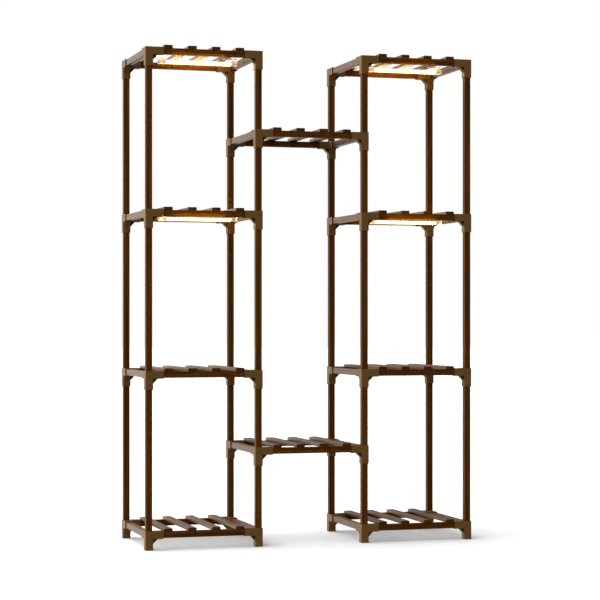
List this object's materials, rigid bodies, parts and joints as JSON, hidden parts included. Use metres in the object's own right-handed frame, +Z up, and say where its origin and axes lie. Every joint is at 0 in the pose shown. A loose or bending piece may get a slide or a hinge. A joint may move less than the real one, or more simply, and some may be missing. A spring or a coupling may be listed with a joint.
{
  "type": "plant stand with grow lights",
  "caption": "Tall open wooden plant stand: slatted shelf towers joined by bridge shelves, on plastic corner connectors, with light bars under the upper tower shelves.",
  "frame": {"origin": "on the floor, at the middle of the stand's base", "axes": "+Z up, +X to the stand's right seen from the front, -Y to the front"},
  "size_m": [1.105, 0.377, 1.6025],
  "materials": {
    "wood": "dark red-brown stained square wood with a fine straight grain, satin",
    "connector_plastic": "moulded olive-brown plastic, fine texture",
    "lamp_housing": "clear moulded plastic hangers on a white channel",
    "milky_diffuser": "milky diffuser, lit warm white",
    "lamp_strip": "white circuit strip with yellow lamp chips"
  },
  "bodies": {
    "root": {"left_tower_outer_side_frame": "wood", "left_tower_inner_side_frame": "wood", "right_tower_outer_side_frame": "wood", "right_tower_inner_side_frame": "wood", "left_tower_shelf_1": "wood", "left_tower_shelf_2": "wood", "left_tower_shelf_3": "wood", "left_tower_shelf_4": "wood", "right_tower_shelf_1": "wood", "right_tower_shelf_2": "wood", "right_tower_shelf_3": "wood", "right_tower_shelf_4": "wood", "bridge_shelf_lower": "wood", "bridge_shelf_upper": "wood", "left_tower_connector_1_front_left": "connector_plastic", "left_tower_connector_1_front_right": "connector_plastic", "left_tower_connector_1_back_left": "connector_plastic", "left_tower_connector_1_back_right": "connector_plastic", "left_tower_connector_2_front_left": "connector_plastic", "left_tower_connector_2_front_right": "connector_plastic", "left_tower_connector_2_back_left": "connector_plastic", "left_tower_connector_2_back_right": "connector_plastic", "left_tower_connector_3_front_left": "connector_plastic", "left_tower_connector_3_front_right": "connector_plastic", "left_tower_connector_3_back_left": "connector_plastic", "left_tower_connector_3_back_right": "connector_plastic", "left_tower_connector_4_front_left": "connector_plastic", "left_tower_connector_4_front_right": "connector_plastic", "left_tower_connector_4_back_left": "connector_plastic", "left_tower_connector_4_back_right": "connector_plastic", "right_tower_connector_1_front_left": "connector_plastic", "right_tower_connector_1_front_right": "connector_plastic", "right_tower_connector_1_back_left": "connector_plastic", "right_tower_connector_1_back_right": "connector_plastic", "right_tower_connector_2_front_left": "connector_plastic", "right_tower_connector_2_front_right": "connector_plastic", "right_tower_connector_2_back_left": "connector_plastic", "right_tower_connector_2_back_right": "connector_plastic", "right_tower_connector_3_front_left": "connector_plastic", "right_tower_connector_3_front_right": "connector_plastic", "right_tower_connector_3_back_left": "connector_plastic", "right_tower_connector_3_back_right": "connector_plastic", "right_tower_connector_4_front_left": "connector_plastic", "right_tower_connector_4_front_right": "connector_plastic", "right_tower_connector_4_back_left": "connector_plastic", "right_tower_connector_4_back_right": "connector_plastic", "left_light_bar_3_channel": "lamp_housing", "left_light_bar_3_diffuser": "milky_diffuser", "left_light_bar_3_lamp_strip": "lamp_strip", "left_light_bar_4_channel": "lamp_housing", "left_light_bar_4_diffuser": "milky_diffuser", "left_light_bar_4_lamp_strip": "lamp_strip", "right_light_bar_3_channel": "lamp_housing", "right_light_bar_3_diffuser": "milky_diffuser", "right_light_bar_3_lamp_strip": "lamp_strip", "right_light_bar_4_channel": "lamp_housing", "right_light_bar_4_diffuser": "milky_diffuser", "right_light_bar_4_lamp_strip": "lamp_strip"}
  },
  "joints": []
}
